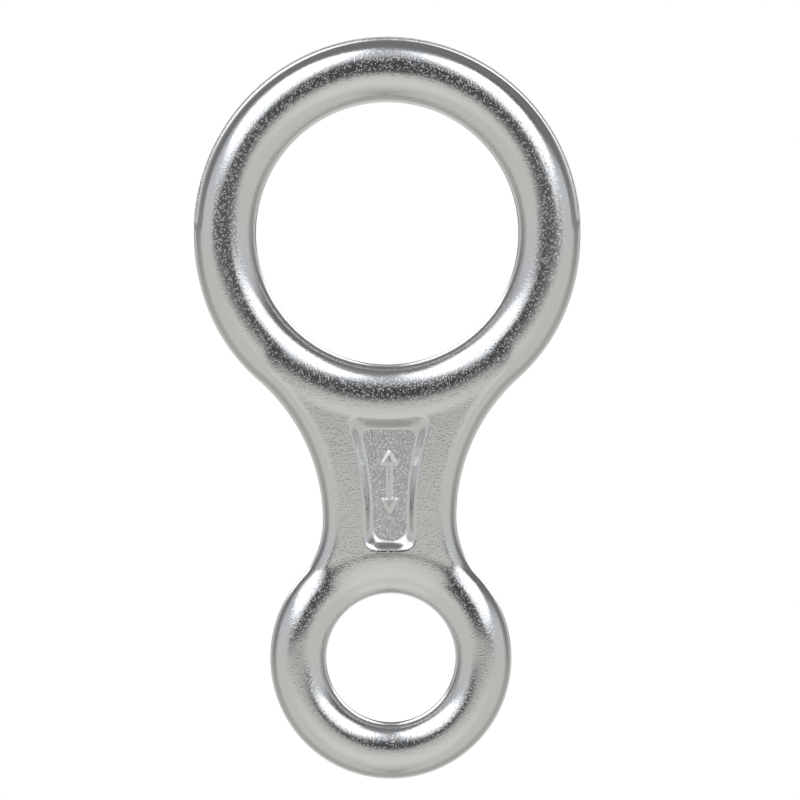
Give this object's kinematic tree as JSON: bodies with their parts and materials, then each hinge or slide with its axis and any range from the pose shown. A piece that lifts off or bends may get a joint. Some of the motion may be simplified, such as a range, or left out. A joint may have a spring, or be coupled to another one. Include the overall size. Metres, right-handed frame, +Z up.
{
  "type": "figure-eight descender",
  "caption": "Forged aluminium figure-eight descender with a large rope eye, a small carabiner eye and a sunk panel on its neck.",
  "frame": {"origin": "centre of the rope eye, half way through the thickness", "axes": "+Z up the length, from the carabiner eye to the rope eye, as it hangs from the rope; +Y through the eyes, towards the back; +X to the right, seen from the front; the front, with the raised load arrow, faces -Y"},
  "size_m": [0.0792, 0.0114, 0.15],
  "materials": {
    "forging": "satin, tumbled after forging"
  },
  "bodies": {
    "root": {"forged_body": "forging"}
  },
  "joints": []
}
